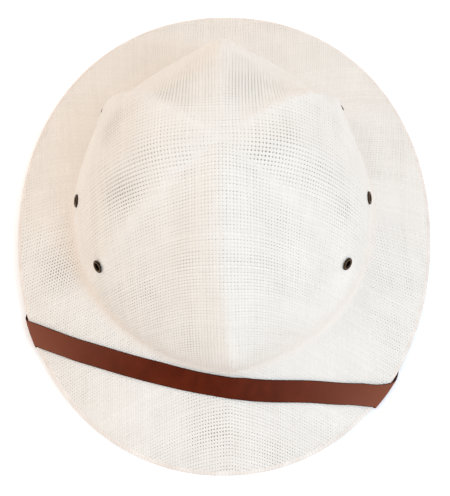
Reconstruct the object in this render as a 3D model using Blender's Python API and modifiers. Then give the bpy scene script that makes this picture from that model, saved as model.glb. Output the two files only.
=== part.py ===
"""A pressed straw pith helmet with a leather strap over its front brim and six vent eyelets.

Metres, +Z up, the front towards -Y. The helmet rests on the edge of its brim at z = 0, and the origin is
under the middle of the brim. Angles round the helmet are measured from the front, positive towards +X.
"""

from collections import namedtuple
import math

import bmesh
import bpy
from mathutils import Vector
import numpy as np

# Brim, measured on the underside, which lies on the block that the straw is pressed over
RIM_HALF_WIDTH = 0.141
RIM_HALF_LENGTH = 0.173
RIM_FULLNESS = 2.1  # 2 is an ellipse, and more is squarer
RIM_SIDE_RISE = 0.009  # how far the edge lifts at the sides
BRIM_BULGE = 0.0025  # how far the slope of the brim bows above a straight one

# Foot of the crown, where its wall would meet the brim without a bend
FOOT_HALF_WIDTH = 0.0995
FOOT_FRONT = 0.1095
FOOT_REAR = 0.113
FOOT_FRONT_FULLNESS = 2.0
FOOT_REAR_FULLNESS = 1.86
FOOT_SET_BACK = 0.001
FOOT_HEIGHT_FRONT = 0.0368
FOOT_HEIGHT_SIDE = 0.0353
FOOT_HEIGHT_REAR = 0.0337
FOOT_BEND_UP = 0.0065  # where the bend at the foot leaves the crown's wall
FOOT_BEND_OUT = 0.0055  # where the bend at the foot meets the brim

# Crown
CROWN_HEIGHT = 0.1165  # from the foot at the side to the apex
PANEL_DENT = 0.12  # how far the middle of a panel is let in, as a share of the crown's radius there
PANEL_FADE = 0.88  # the share of the crown's height over which the panels fade to a round foot
KEEL = 0.0022  # how far the front ridge still stands out at the foot
KEEL_SPREAD = math.radians(35)
WALL = 0.002

# Six ridges run from the apex to the foot. The two between front and rear are mirrored to the other side.
# apex_turn and foot_turn are degrees from the front. fullness shapes the ridge, and panel_fullness the panel
# behind it.
Ridge = namedtuple("Ridge", "name apex_turn foot_turn fullness panel_fullness")
RIDGES = (
    Ridge("front", 0, 0, 2.0, 1.8),
    Ridge("fore", 57, 61.5, 1.6, 2.45),
    Ridge("aft", 123, 124.7, 2.4, 2.35),
    Ridge("rear", 180, 180, 2.3, 2.3),
)
LAST = len(RIDGES) - 1

# Eyelets, alike on both sides. rise is the height above the foot, as a share of the crown's height.
Vent = namedtuple("Vent", "name turn rise holds_strap")
VENTS = (Vent("front", 60, 0.30, False), Vent("mid", 89.5, 0.24, True), Vent("rear", 126, 0.295, False))
EYELET_WIDTH = 0.009
EYELET_BORE = 0.0044
EYELET_METAL = 0.0005
EYELET_ROLL = 0.0011  # how far the rolled flange stands off what it clamps
EYELET_ROUND = 0.12  # how far the roll has dropped halfway out from its crest, as a share of its height
EYELET_INNER_WIDTH = 0.0084
EYELET_SEAT = 0.0003  # clearance under the outer flange, and between barrel and hole
EYELET_INNER_SEAT = 0.0006  # clearance under the inner flange, which spans the bend of the wall

# Strap
STRAP_WIDTH = 0.015
STRAP_THICKNESS = 0.0012
STRAP_SEAT = 0.0004
STRAP_INNER_SEAT = 0.0007  # under the brim and inside the crown, where it lies looser
STRAP_TUCK = 0.0007  # how far in from the rim its turn round the edge is centred
STRAP_TONGUE = 0.007  # how far its ends reach past the eyelets that hold them

# The strap's centre line, from its left end to its right one. turn is in degrees, and reach is the share of
# the way out along the brim, from the bend at the foot to the edge. Beyond the edge it lies under the brim.
Station = namedtuple("Station", "turn reach")
STRAP_UNDER_LEFT = (Station(-83, 0.07), Station(-78, 0.42), Station(-72, 0.74))
STRAP_OVER = (
    Station(-65.3, 1.0),
    Station(-55, 0.611),
    Station(-40, 0.28),
    Station(-22, 0.111),
    Station(-5, 0.064),
    Station(12, 0.174),
    Station(27, 0.383),
    Station(40, 0.719),
    Station(47.6, 1.0),
)
STRAP_UNDER_RIGHT = (Station(58, 0.77), Station(68, 0.455), Station(78, 0.14))

# Fineness of the meshes
COLUMNS_PER_PANEL = 11
CROWN_ROWS = 15
BEND_ROWS = 4
BRIM_ROWS = 6
EYELET_SIDES = 14
STRAP_STRIPS = 3  # across its width
STRAP_STEP = 0.006
STRAP_BEND_STEP = 0.0025  # where it goes round the bend at the foot
STRAP_FINE_STEP = 0.0009  # where it goes round the edge of the brim
STRAP_LEAST_RUN = 0.2  # the least slope at which the strap is taken to cross the edge
SLOPE_STEP = 0.0004  # for slopes of the strap's surface, by differences
SHARP_ANGLE = math.radians(40)  # edges that are sharper than this are shown as creases
MERGE_DISTANCE = 0.00001

STRAW = ((0.86, 0.80, 0.72), 0.85, 0.0)  # colour, roughness and metallic value
LEATHER = ((0.14, 0.040, 0.023), 0.5, 0.0)
BRASS = ((0.20, 0.14, 0.08), 0.4, 1.0)


def oval(turn, half_width, front, rear, front_fullness, rear_fullness):
    """Points of an oval whose front and rear halves have their own length and fullness."""
    side, ahead = np.sin(turn), np.cos(turn)
    length = np.where(ahead > 0, front, rear)
    power = np.where(ahead > 0, front_fullness, rear_fullness)
    size = (np.abs(side) ** power + np.abs(ahead) ** power) ** (-1 / power)
    return np.stack([half_width * side * size, -length * ahead * size], -1)


def unturned(turn):
    """The same angle's distance from the front, whichever side it is on."""
    return np.abs((turn + math.pi) % (2 * math.pi) - math.pi)


def ridge_angles(descent):
    """Where the ridges lie at a share of the way from the apex down to the foot."""
    return [np.radians(r.apex_turn + (r.foot_turn - r.apex_turn) * descent) for r in RIDGES]


def turn_at(place, descent):
    """The angle of a place round the star, where whole numbers are ridges and the sign is the side."""
    size, marks = np.abs(place), ridge_angles(descent)
    turn = marks[0]
    for k in range(LAST):
        turn = turn + (marks[k + 1] - marks[k]) * np.clip(size - k, 0, 1)
    return np.where(place < 0, -turn, turn)


def place_at(turn, descent):
    """The place round the star of an angle, without its side: the reverse of turn_at."""
    size, marks = unturned(turn), ridge_angles(descent)
    place = 0.0
    for k in range(LAST):
        place = place + np.clip((size - marks[k]) / (marks[k + 1] - marks[k]), 0, 1)
    return place


def fullness(place):
    """The exponent of the crown's curve from apex to foot, at a place round the star."""
    marks, values = [], []
    for k, ridge in enumerate(RIDGES):
        marks += [k, k + 0.5]
        values += [ridge.fullness, ridge.panel_fullness]
    return np.interp(place, marks[:-1], values[:-1])


def foot(turn):
    """The corner line between the crown's wall and the brim."""
    ahead = np.cos(turn)
    ends = np.where(ahead > 0, FOOT_HEIGHT_FRONT, FOOT_HEIGHT_REAR)
    height = FOOT_HEIGHT_SIDE + (ends - FOOT_HEIGHT_SIDE) * ahead**2
    outline = oval(turn, FOOT_HALF_WIDTH, FOOT_FRONT, FOOT_REAR, FOOT_FRONT_FULLNESS, FOOT_REAR_FULLNESS)
    keel = KEEL / FOOT_FRONT * np.clip(1 - unturned(turn) / KEEL_SPREAD, 0, 1) ** 2
    outline = outline * (1 + keel)[..., None] + np.array([0, FOOT_SET_BACK])
    return np.concatenate([outline, height[..., None]], -1)


def rim(turn):
    """The edge of the brim's underside."""
    outline = oval(turn, RIM_HALF_WIDTH, RIM_HALF_LENGTH, RIM_HALF_LENGTH, RIM_FULLNESS, RIM_FULLNESS)
    height = RIM_SIDE_RISE * np.sin(turn) ** 2
    return np.concatenate([outline, height[..., None]], -1)


def crown(turn, descent):
    """The ridged dome: a superellipse from the apex to the foot, let in between the ridges."""
    turn, descent = np.broadcast_arrays(turn, descent)
    place = place_at(turn, descent)
    power = 2 / fullness(place)
    from_middle = math.pi / 3 * np.abs(place - np.clip(np.floor(place), 0, LAST - 1) - 0.5)
    flat = (1 / np.cos(from_middle) - 1) / (1 / math.cos(math.pi / 6) - 1)
    out = np.sin(descent * math.pi / 2) ** power
    up = np.clip(np.cos(descent * math.pi / 2), 0, 1) ** power
    fade = np.clip(up / PANEL_FADE, 0, 1)
    out = out * (1 - PANEL_DENT * (1 - flat) * fade**2 * (3 - 2 * fade))
    base = foot(turn)
    apex = np.array([0, FOOT_SET_BACK, FOOT_HEIGHT_SIDE + CROWN_HEIGHT])
    outline = apex[:2] + (base[..., :2] - apex[:2]) * out[..., None]
    height = base[..., 2] + (apex[2] - base[..., 2]) * up
    return np.concatenate([outline, height[..., None]], -1)


def brim(turn, share):
    """The slope from the foot to the rim, bowed a little upwards."""
    turn, share = np.broadcast_arrays(turn, share)
    inner, outer = foot(turn), rim(turn)
    point = inner + (outer - inner) * share[..., None]
    point[..., 2] += 4 * BRIM_BULGE * share * (1 - share)
    return point


def descent_at(turn, rise):
    """How far down the crown a height above the foot lies."""
    up = rise / (FOOT_HEIGHT_SIDE + CROWN_HEIGHT - foot(turn)[..., 2])
    return np.arccos(up ** (fullness(place_at(turn, 1.0)) / 2)) * 2 / math.pi


def bend_start(turn):
    """The share of the brim at which the bend at the foot ends."""
    return FOOT_BEND_OUT / np.linalg.norm((rim(turn) - foot(turn))[..., :2], axis=-1)


def block(turn, v):
    """The inner surface. v is 0 to 1 down the crown, 1 to 2 round the bend at the foot and 2 to 3 out to the rim."""
    turn, v = np.broadcast_arrays(np.asarray(turn, float), np.asarray(v, float))
    last, start = descent_at(turn, FOOT_BEND_UP), bend_start(turn)
    wall = crown(turn, last * np.clip(v, 0, 1))
    slope = brim(turn, start + (1 - start) * np.clip(v - 2, 0, 1))
    t = np.clip(v - 1, 0, 1)[..., None]
    bend = (1 - t) ** 2 * crown(turn, last) + 2 * t * (1 - t) * foot(turn) + t**2 * brim(turn, start)
    below = np.where((v > 2)[..., None], slope, bend)
    return np.where((v < 1)[..., None], wall, below)


def normal(turn, v, step=0.001):
    """The direction straight out of the surface, from differences over a small step each way."""
    down = block(turn, np.clip(v + step, 0, 3)) - block(turn, np.clip(v - step, 0, 3))
    side = block(turn + step, v) - block(turn - step, v)
    out = np.cross(down, side)
    return out / np.linalg.norm(out, axis=-1, keepdims=True)


def material(name, look):
    """A Principled material of one colour, roughness and metallic value."""
    colour, roughness, metallic = look
    made = bpy.data.materials.new(name)
    made.use_nodes = True
    shader = made.node_tree.nodes["Principled BSDF"]
    shader.inputs["Base Color"].default_value = (*colour, 1.0)
    shader.inputs["Roughness"].default_value = roughness
    shader.inputs["Metallic"].default_value = metallic
    return made


def mesh_object(name, points, faces, finish, collection):
    """An object from computed points, with its faces turned the same way."""
    mesh = bpy.data.meshes.new(name)
    mesh.from_pydata([tuple(p) for p in points], [], faces)
    made = bmesh.new()
    made.from_mesh(mesh)
    bmesh.ops.recalc_face_normals(made, faces=made.faces)
    made.to_mesh(mesh)
    made.free()
    thing = bpy.data.objects.new(name, mesh)
    if finish is not None:
        mesh.materials.append(finish)
    collection.objects.link(thing)
    return thing


def wall_of(thing, thickness, offset):
    """Gives an open surface its thickness, outwards for an offset of 1 and to both sides for 0."""
    solid = thing.modifiers.new("wall", "SOLIDIFY")
    solid.thickness = thickness
    solid.offset = offset
    solid.use_even_offset = True


def make_shell(finish, collection):
    """Crown and brim, pressed in one: rows from the apex to the rim, closed round every ridge."""
    columns = 2 * LAST * COLUMNS_PER_PANEL
    place = (np.arange(columns) - columns / 2) / COLUMNS_PER_PANEL
    rows = np.concatenate(
        [
            np.linspace(0, 1, CROWN_ROWS + 1)[1:],
            np.linspace(1, 2, BEND_ROWS + 1)[1:],
            np.linspace(2, 3, BRIM_ROWS + 1)[1:],
        ]
    )
    points = [block(0.0, 0.0)]
    for v in rows:
        around = np.zeros(columns)
        for _ in range(3):  # the ridges bend, so an angle and its descent are settled together
            descent = descent_at(around, FOOT_BEND_UP) * v if v < 1 else np.ones(columns)
            around = turn_at(place, descent)
        points += list(block(around, v))
    faces = [(0, 1 + j, 1 + (j + 1) % columns) for j in range(columns)]
    for i in range(len(rows) - 1):
        for j in range(columns):
            a, b = 1 + i * columns + j, 1 + i * columns + (j + 1) % columns
            faces.append((a, a + columns, b + columns, b))
    shell = mesh_object("helmet_shell", points, faces, finish, collection)
    if shell.data.polygons[0].normal.z < 0:
        shell.data.flip_normals()
    shell.data.shade_smooth()
    shell.data.set_sharp_from_angle(angle=SHARP_ANGLE)
    wall_of(shell, WALL, 1)
    return shell


def eyelet_seat(vent, side):
    """Where an eyelet's axis leaves the outer surface, and the direction that it points."""
    turn = math.radians(vent.turn) * side
    v = float(descent_at(turn, vent.rise * CROWN_HEIGHT) / descent_at(turn, FOOT_BEND_UP))
    over = EYELET_WIDTH / 2 / FOOT_HALF_WIDTH  # averaged over the flange, because a ridge may run under it
    out = normal(turn, v, over)
    return block(turn, v) + WALL * out, out, v


def aim(thing, point, direction):
    """Places an object with its Z axis along a direction."""
    thing.location = Vector(point)
    thing.rotation_mode = "QUATERNION"
    thing.rotation_quaternion = Vector(direction).to_track_quat("Z", "Y")


def make_eyelet(name, vent, side, finish, collection):
    """A turned eyelet: a barrel through the wall, a rolled flange outside and a washer flange inside."""
    point, out, _ = eyelet_seat(vent, side)
    grip = WALL + EYELET_INNER_SEAT
    if vent.holds_strap:
        grip += STRAP_INNER_SEAT + STRAP_THICKNESS
    bore = EYELET_BORE / 2
    barrel = bore + EYELET_METAL
    rim_radius, inner_radius = EYELET_WIDTH / 2, EYELET_INNER_WIDTH / 2
    middle = (bore + rim_radius) / 2
    low, high = EYELET_SEAT, EYELET_SEAT + EYELET_ROLL
    half_up, shoulder = (low + high) / 2, high - EYELET_ROLL * EYELET_ROUND
    # radius and height, down the outside from the roll's crest and back up the bore
    profile = [
        (middle, high),
        ((middle + rim_radius) / 2, shoulder),
        (rim_radius, half_up),
        (rim_radius, low),
        (barrel, low),
        (barrel, -grip),
        (inner_radius, -grip),
        (inner_radius, -grip - EYELET_METAL),
        (bore, -grip - EYELET_METAL),
        (bore, half_up),
        ((middle + bore) / 2, shoulder),
    ]
    mesh = bpy.data.meshes.new(name)
    count = len(profile)
    mesh.from_pydata([(r, 0, z) for r, z in profile], [(i, (i + 1) % count) for i in range(count)], [])
    mesh.materials.append(finish)
    eyelet = bpy.data.objects.new(name, mesh)
    collection.objects.link(eyelet)
    aim(eyelet, point, out)
    turned = eyelet.modifiers.new("turned", "SCREW")
    turned.steps = turned.render_steps = EYELET_SIDES
    turned.use_merge_vertices = True
    turned.merge_threshold = MERGE_DISTANCE
    turned.use_smooth_shade = True
    return eyelet


def make_cutter(name, vent, side, collection):
    """The round hole that an eyelet's barrel passes through."""
    point, out, _ = eyelet_seat(vent, side)
    depth = 4 * (WALL + STRAP_INNER_SEAT + STRAP_THICKNESS)
    tool = bmesh.new()
    radius = EYELET_BORE / 2 + EYELET_METAL + EYELET_SEAT
    bmesh.ops.create_cone(
        tool,
        cap_ends=True,
        segments=EYELET_SIDES,
        radius1=radius,
        radius2=radius,
        depth=depth,
    )
    mesh = bpy.data.meshes.new(name)
    tool.to_mesh(mesh)
    tool.free()
    cutter = bpy.data.objects.new(name, mesh)
    collection.objects.link(cutter)
    aim(cutter, point, out)
    cutter.hide_render = True
    cutter.display_type = "WIRE"
    return cutter


def cut(thing, cutter):
    """Takes a cutter's hole out of a solid."""
    hole = thing.modifiers.new("hole", "BOOLEAN")
    hole.operation = "DIFFERENCE"
    hole.solver = "EXACT"
    hole.object = cutter


def lengths(turn):
    """The lengths of the brim, of the bend and of the wall above it, along the surface at an angle."""
    marks = [block(turn, v) for v in (3.0, 2.0, 1.5, 1.0, 0.5)]
    parts = [np.linalg.norm(a - b, axis=-1) for a, b in zip(marks, marks[1:])]
    return parts[0], parts[1] + parts[2], parts[3] * 2


def lap_radius():
    """The radius of the strap's middle where it goes round the edge of the brim."""
    return (WALL + STRAP_SEAT + STRAP_INNER_SEAT + STRAP_THICKNESS) / 2


def lap_length():
    """How much longer the way round the edge is than the part of the brim that it covers."""
    return math.pi * lap_radius() - 2 * STRAP_TUCK


def run_in(turn, v):
    """The distance in from the rim, along the surface, of a surface point."""
    slope, bend, wall = lengths(turn)
    return np.clip(3 - v, 0, 1) * slope + np.clip(2 - v, 0, 1) * bend + np.clip(1 - v, 0, 1) * wall


def lay(turn, run):
    """A point of the strap's middle. run is the distance in from the rim, and below 0 round and under the brim."""
    slope, bend, wall = lengths(turn)
    radius = lap_radius()
    under = run < STRAP_TUCK
    inward = np.where(under, -run - lap_length(), run)
    v = 3 - np.clip(inward / slope, 0, 1)
    v = v - np.clip((inward - slope) / bend, 0, 1)
    v = v - np.clip((inward - slope - bend) / wall, 0, 1)
    out = normal(turn, v)
    half = STRAP_THICKNESS / 2
    lift = np.where(under, -STRAP_INNER_SEAT - half, WALL + STRAP_SEAT + half)
    flat = block(turn, v) + out * lift[..., None]
    edge_out = normal(turn, np.full_like(v, 3.0))
    ahead = block(turn, np.full_like(v, 3.0)) - block(turn, np.full_like(v, 2.98))
    ahead = ahead / np.linalg.norm(ahead, axis=-1, keepdims=True)
    angle = np.clip((STRAP_TUCK - run) / radius, 0, math.pi)[..., None]
    middle = rim(turn) - ahead * STRAP_TUCK + edge_out * (WALL + STRAP_SEAT - STRAP_INNER_SEAT) / 2
    lap = middle + radius * (np.cos(angle) * edge_out + np.sin(angle) * ahead)
    return np.where((under & (inward < STRAP_TUCK))[..., None], lap, flat)


def smooth_path(knots, spots):
    """A smooth curve through the knots, read at distances along them."""
    knots = np.asarray(knots)
    scale = np.array([RIM_HALF_WIDTH, 1.0])
    along = np.concatenate([[0], np.cumsum(np.linalg.norm(np.diff(knots * scale, axis=0), axis=1))])
    slopes = np.gradient(knots, along, axis=0)
    k = np.clip(np.searchsorted(along, spots) - 1, 0, len(along) - 2)
    gap = (along[k + 1] - along[k])[:, None]
    t = ((spots - along[k]) / gap[:, 0])[:, None]
    near, far = knots[k], knots[k + 1]
    return (
        (1 + 2 * t) * (1 - t) ** 2 * near
        + t * (1 - t) ** 2 * gap * slopes[k]
        + t**2 * (3 - 2 * t) * far
        - t**2 * (1 - t) * gap * slopes[k + 1]
    )


def strap_knots():
    """The strap's centre line as angles and runs, from the tongue past one eyelet to that past the other."""
    lap = lap_length()
    mid = next(vent for vent in VENTS if vent.holds_strap)
    knots = []
    for side, stations in ((-1, STRAP_UNDER_LEFT), (1, STRAP_UNDER_RIGHT)):
        turn = math.radians(mid.turn) * side
        _, _, v = eyelet_seat(mid, side)
        hold = -float(run_in(np.array(turn), np.array(v))) - lap
        tip = (turn, hold - STRAP_TONGUE)
        under = []
        for s in stations:
            angle = math.radians(s.turn)
            under.append((angle, -float(run_in(np.array(angle), np.array(2 + s.reach))) - lap))
        knots.append([tip, (turn, hold)] + under if side < 0 else under + [(turn, hold), tip])
    over = []
    for s in STRAP_OVER:
        angle = math.radians(s.turn)
        over.append((angle, float(run_in(np.array(angle), np.array(2 + s.reach)))))
    return knots[0] + over + knots[1]


def strap_stations(knots):
    """Distances along the strap, close together where it bends."""
    scale = np.array([RIM_HALF_WIDTH, 1.0])
    steps = np.linalg.norm(np.diff(np.asarray(knots) * scale, axis=0), axis=1)
    along = np.concatenate([[0], np.cumsum(steps)])
    total = along[-1]
    fine = np.linspace(0, total, int(total / STRAP_FINE_STEP) + 1)
    turn, run = smooth_path(knots, fine).T
    lap = lap_length()
    slope, bend, _ = lengths(turn)
    past_slope = -run - lap - slope
    margin = STRAP_TUCK + 2 * STRAP_FINE_STEP
    near_edge = (run < margin) & (run > -lap - margin)
    near_bend = (past_slope > -STRAP_WIDTH) & (past_slope < bend + STRAP_WIDTH)
    index = np.arange(len(fine))
    chosen = near_edge | (index % int(STRAP_STEP / STRAP_FINE_STEP) == 0)
    chosen = chosen | (near_bend & (index % int(STRAP_BEND_STEP / STRAP_FINE_STEP) == 0))
    chosen[-1] = True
    return fine[chosen]


def make_strap(finish, collection):
    """A flat strap over the brim, round its edge at both sides and under it to eyelets in the crown's wall."""
    knots = strap_knots()
    spots = strap_stations(knots)
    path = smooth_path(knots, spots)
    ahead = np.gradient(path, spots, axis=0)
    turn, run, step = path[:, 0], path[:, 1], SLOPE_STEP
    by_turn = (lay(turn + step, run) - lay(turn - step, run)) / (2 * step)
    by_run = (lay(turn, run + step) - lay(turn, run - step)) / (2 * step)
    e, f, g = (by_turn**2).sum(1), (by_turn * by_run).sum(1), (by_run**2).sum(1)
    turn_step, run_step = ahead[:, 0], ahead[:, 1]
    across = np.stack([-(turn_step * f + run_step * g), turn_step * e + run_step * f], 1)
    size = np.sqrt(e * across[:, 0] ** 2 + 2 * f * across[:, 0] * across[:, 1] + g * across[:, 1] ** 2)
    across = across / size[:, None]
    # near the edge the rows of the mesh lie along the edge, so that the fold is a clean one
    slant = -across[:, 1] / np.where(np.abs(run_step) > STRAP_LEAST_RUN, run_step, STRAP_LEAST_RUN)
    near = np.clip((2 * STRAP_WIDTH - np.abs(run)) / STRAP_WIDTH, 0, 1)
    across = across + ahead * (slant * near**2 * (3 - 2 * near))[:, None]
    aside = np.linspace(-0.5, 0.5, STRAP_STRIPS + 1) * STRAP_WIDTH
    spread = path[:, None] + across[:, None] * aside[:, None]
    points = lay(spread[..., 0], spread[..., 1]).reshape(-1, 3)
    faces = []
    for i in range(len(spots) - 1):
        for j in range(STRAP_STRIPS):
            a = (STRAP_STRIPS + 1) * i + j
            faces.append((a, a + 1, a + STRAP_STRIPS + 2, a + STRAP_STRIPS + 1))
    strap = mesh_object("strap", points, faces, finish, collection)
    strap.data.shade_smooth()
    strap.data.set_sharp_from_angle(angle=SHARP_ANGLE)
    wall_of(strap, STRAP_THICKNESS, 0)
    return strap


def main():
    for thing in list(bpy.data.objects):
        bpy.data.objects.remove(thing)
    helmet = bpy.data.collections.new("pith_helmet")
    tools = bpy.data.collections.new("cutters")
    for collection in (helmet, tools):
        bpy.context.scene.collection.children.link(collection)
    straw, leather, brass = material("straw", STRAW), material("leather", LEATHER), material("brass", BRASS)

    shell = make_shell(straw, helmet)
    strap = make_strap(leather, helmet)
    for side, side_name in ((-1, "left"), (1, "right")):
        for vent in VENTS:
            make_eyelet(f"eyelet_{side_name}_{vent.name}", vent, side, brass, helmet)
            cutter = make_cutter(f"hole_{side_name}_{vent.name}", vent, side, tools)
            cut(shell, cutter)
            if vent.holds_strap:
                cut(strap, cutter)


main()
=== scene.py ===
import math

import bpy
import numpy as np
from mathutils import Matrix, Vector


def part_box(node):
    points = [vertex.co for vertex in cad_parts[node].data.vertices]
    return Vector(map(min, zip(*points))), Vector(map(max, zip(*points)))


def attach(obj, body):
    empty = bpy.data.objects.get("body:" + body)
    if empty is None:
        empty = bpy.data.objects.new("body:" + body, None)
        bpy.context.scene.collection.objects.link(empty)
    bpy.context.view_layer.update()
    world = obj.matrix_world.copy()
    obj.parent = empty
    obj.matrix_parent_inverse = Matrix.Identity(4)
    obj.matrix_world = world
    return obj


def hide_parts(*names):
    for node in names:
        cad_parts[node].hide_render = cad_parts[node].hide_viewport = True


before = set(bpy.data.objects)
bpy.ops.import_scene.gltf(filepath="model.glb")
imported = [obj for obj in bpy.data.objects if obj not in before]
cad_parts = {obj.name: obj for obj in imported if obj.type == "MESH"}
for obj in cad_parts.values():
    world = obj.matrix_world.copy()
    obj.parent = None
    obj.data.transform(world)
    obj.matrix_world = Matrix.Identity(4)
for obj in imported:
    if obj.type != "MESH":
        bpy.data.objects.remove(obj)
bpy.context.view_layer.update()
shellLow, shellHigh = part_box("helmet_shell")
shellWidth, shellLength, shellHeight = shellHigh - shellLow
mm = 0.001
chance = np.random.default_rng(7)

# small helpers


def srgb(code):
    # sRGB hex to linear: c / 12.92 up to 0.04045, and ((c + 0.055) / 1.055) ^ 2.4 above
    parts = [int(code[i:i + 2], 16) / 255 for i in (1, 3, 5)]
    return tuple(c / 12.92 if c <= 0.04045 else ((c + 0.055) / 1.055) ** 2.4 for c in parts) + (1.0,)


def addNode(tree, kind, links=None, **settings):
    # a node with its settings; links gives each input a constant or another node's output
    node = tree.nodes.new("ShaderNode" + kind)
    for name, value in settings.items():
        setattr(node, name, value)
    for name, value in (links or {}).items():
        if isinstance(value, bpy.types.NodeSocket):
            tree.links.new(value, node.inputs[name])
        else:
            node.inputs[name].default_value = value
    return node


def addRamp(tree, factor, low, lowAt, high, highAt):
    # the colour low up to lowAt and high from highAt on, linear in between
    ramp = addNode(tree, "ValToRGB", {"Fac": factor})
    for stop, colour, place in zip(ramp.color_ramp.elements, (low, high), (lowAt, highAt)):
        stop.color, stop.position = srgb(colour), place
    return ramp


def addNoise(tree, place, scale, detail):
    # fractal noise at a place
    return addNode(tree, "TexNoise", {"Vector": place, "Scale": scale, "Detail": detail})


def addScaled(tree, value, factor, plus):
    # value * factor + plus
    return addNode(tree, "Math", {0: value, 1: factor, 2: plus}, operation="MULTIPLY_ADD")


def emboss(tree, shader, height, strength):
    # tilts the normal as on a relief of height, a fifth of a millimetre deep, by the share strength
    bump = addNode(tree, "Bump", {"Height": height, "Strength": strength, "Distance": 0.0002})
    tree.links.new(bump.outputs["Normal"], shader.inputs["Normal"])


def newMaterial(name, **constants):
    # a Principled material; each constant goes to the input of its name, with spaces for underscores
    made = bpy.data.materials.new(name)
    made.use_nodes = True
    shader = made.node_tree.nodes["Principled BSDF"]
    for socket, value in constants.items():
        shader.inputs[socket.replace("_", " ")].default_value = value
    return made, made.node_tree, shader


def newPiece(name, points, faceSets, material, uv=None, values=None, faceFinish=None):
    # a mesh from whole arrays: points (n, 3), and faces as arrays of triangles or quads
    mesh = bpy.data.meshes.new(name)
    mesh.vertices.add(len(points))
    mesh.vertices.foreach_set("co", np.asarray(points, np.float32).ravel())
    corners = np.concatenate([faces.ravel() for faces in faceSets])
    sides = np.concatenate([np.full(len(faces), faces.shape[1]) for faces in faceSets])
    mesh.loops.add(len(corners))
    mesh.loops.foreach_set("vertex_index", corners.astype(np.int32))
    mesh.polygons.add(len(sides))
    mesh.polygons.foreach_set("loop_start", np.concatenate([[0], np.cumsum(sides)[:-1]]).astype(np.int32))
    mesh.polygons.foreach_set("use_smooth", np.ones(len(sides), bool))
    if uv is not None:
        layer = mesh.uv_layers.new(name="surface")
        layer.data.foreach_set("uv", np.asarray(uv, np.float32)[corners].ravel())
    for label, numbers in (values or {}).items():
        attribute = mesh.attributes.new(label, "FLOAT", "POINT")
        attribute.data.foreach_set("value", np.asarray(numbers, np.float32).ravel())
    for finish in material if isinstance(material, (list, tuple)) else [material]:
        mesh.materials.append(finish)
    if faceFinish is not None:
        mesh.polygons.foreach_set("material_index", faceFinish.astype(np.int32))
    mesh.update()
    mesh.validate()
    piece = bpy.data.objects.new(name, mesh)
    bpy.context.scene.collection.objects.link(piece)
    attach(piece, "root")
    return piece


def gridQuads(rows, columns, closed=False, outward=True):
    # quads between neighbouring rows and columns of a grid; closed joins the last column to the first
    row = np.arange(rows - 1)[:, None]
    column = np.arange(columns if closed else columns - 1)[None, :]
    after = (column + 1) % columns
    quads = [row * columns + column, (row + 1) * columns + column, (row + 1) * columns + after, row * columns + after]
    quads = np.stack(np.broadcast_arrays(*quads), -1).reshape(-1, 4)
    return quads if outward else quads[:, ::-1]


def usedOnly(points, quads, *others):
    # drops the points that no face uses
    used, again = np.unique(quads, return_inverse=True)
    return points[used], again.reshape(quads.shape), [other[used] for other in others]


# the pressed form: that of the solids, with the folds along its ridges drawn sharper and the front ridge leaning.
# Sizes are shares of the shell's own box

form = {
    "rimHalfWidth": 0.4955 * shellWidth,
    "rimHalfLength": 0.4967 * shellLength,
    "rimFullness": 2.1,  # 2 is an ellipse, and more is squarer
    "rimSideRise": 0.0585 * shellHeight,
    "brimBulge": 0.0163 * shellHeight,
    "footHalfWidth": 0.3497 * shellWidth,
    "footFront": 0.3144 * shellLength,
    "footRear": 0.3244 * shellLength,
    "footFrontFullness": 2.0,
    "footRearFullness": 1.86,
    "footSetBack": 0.001,
    "footHeightFront": 0.2393 * shellHeight,
    "footHeightSide": 0.2295 * shellHeight,
    "footHeightRear": 0.2191 * shellHeight,
    "bendUp": 6.5 * mm,
    "bendOut": 5.5 * mm,
    "crownHeight": 0.7574 * shellHeight,
    "panelDent": 0.12,  # how far a panel is let in, as a share of the radius
    "panelFade": 0.88,  # the rise from which it is let in fully
    "keel": 0.046,  # how far the front ridge stands out at the foot, as a share of the radius
    "keelSpread": math.radians(35),
    "keelFull": 0.85,  # the descent from which it stands out in full
    "browSlope": 1.7,  # the front ridge is rounded off near the apex
    "browStart": 0.45,  # the descent from which it grows sharp again
    "browGrow": 0.4,
    "keelLean": math.radians(3.2),  # the front ridge ends this far off the middle, as the pressed cloth pulled
    "leanSpread": math.radians(45),
    "crestWidth": 0.11,  # of the fold along a ridge, as a share of the way to the next one
    "crestFoot": 0.2,  # the rise below which the fold dies out
    "rearStep": 0.062,  # how far the rear panel drops behind its ridge, as a share of the radius
    "rearStepWidth": 0.17,
    "rearStepEnd": 2.3,  # where round the crown the drop starts to fade
    "rearStepFade": 0.7,
    "pressedWidth": 0.07,  # of the dense line along a ridge, as a share of the way to the next one
    "pressedFoot": 0.2,  # over this much of v it dies out at the foot
    "pressedStart": 0.4,  # the descent from which the front ridge grows dense
    "pressedGrow": 0.3,
    "wall": 2 * mm,
    "ridgeRound": 1.1 * mm,  # how softly the cloth bends over a ridge
}
# the ridges of one side: turn at the apex and at the foot, fullness of the ridge and of the panel behind it, and how
# far the fold stands out at the apex and at the foot, as a share of the radius
ridges = [
    {"apex": 0, "foot": 0, "fullness": 2.0, "panel": 1.8, "crest": (0.0, 0.022)},
    {"apex": 57, "foot": 61.5, "fullness": 1.6, "panel": 2.45, "crest": (0.040, 0.034)},
    {"apex": 123, "foot": 124.7, "fullness": 2.4, "panel": 2.35, "crest": (0.048, 0.01)},
    {"apex": 180, "foot": 180, "fullness": 2.3, "panel": 2.3, "crest": (0.026, 0.004)},
]
# turn, rise as a share of the crown, and degrees that the eyelet is turned down from the crown's wall
vents = {"front": (60, 0.30, 9), "mid": (89.5, 0.24, 0), "rear": (126, 0.295, 0)}


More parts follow.
